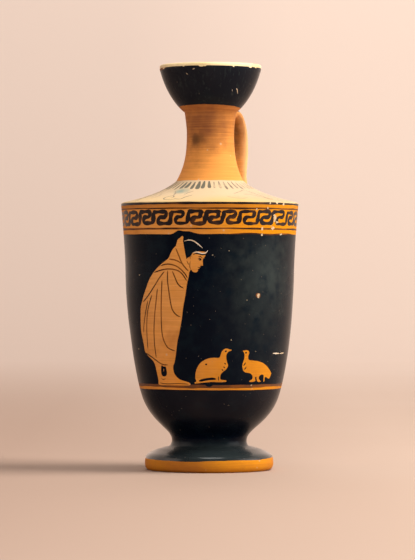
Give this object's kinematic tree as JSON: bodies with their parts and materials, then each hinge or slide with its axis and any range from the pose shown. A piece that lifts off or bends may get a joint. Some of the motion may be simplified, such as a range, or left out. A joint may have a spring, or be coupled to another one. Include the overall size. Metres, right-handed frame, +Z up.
{
  "type": "lekythos",
  "caption": "Small fired-clay oil flask with a calyx mouth, narrow neck, strap handle, tapering body and disc foot; it stands on its foot and holds and pours oil.",
  "frame": {"origin": "middle of the resting ring under the foot, on the vessel's axis", "axes": "+Z up along the vessel's axis, +Y towards the handle, so -Y is the painted front"},
  "size_m": [0.079, 0.079, 0.18],
  "materials": {
    "glazed_clay": "glossy black slip over orange clay, with reserved orange bands and figures, a bare orange neck and foot edge, and a cream shoulder"
  },
  "bodies": {
    "root": {"lekythos": "glazed_clay"}
  },
  "joints": []
}
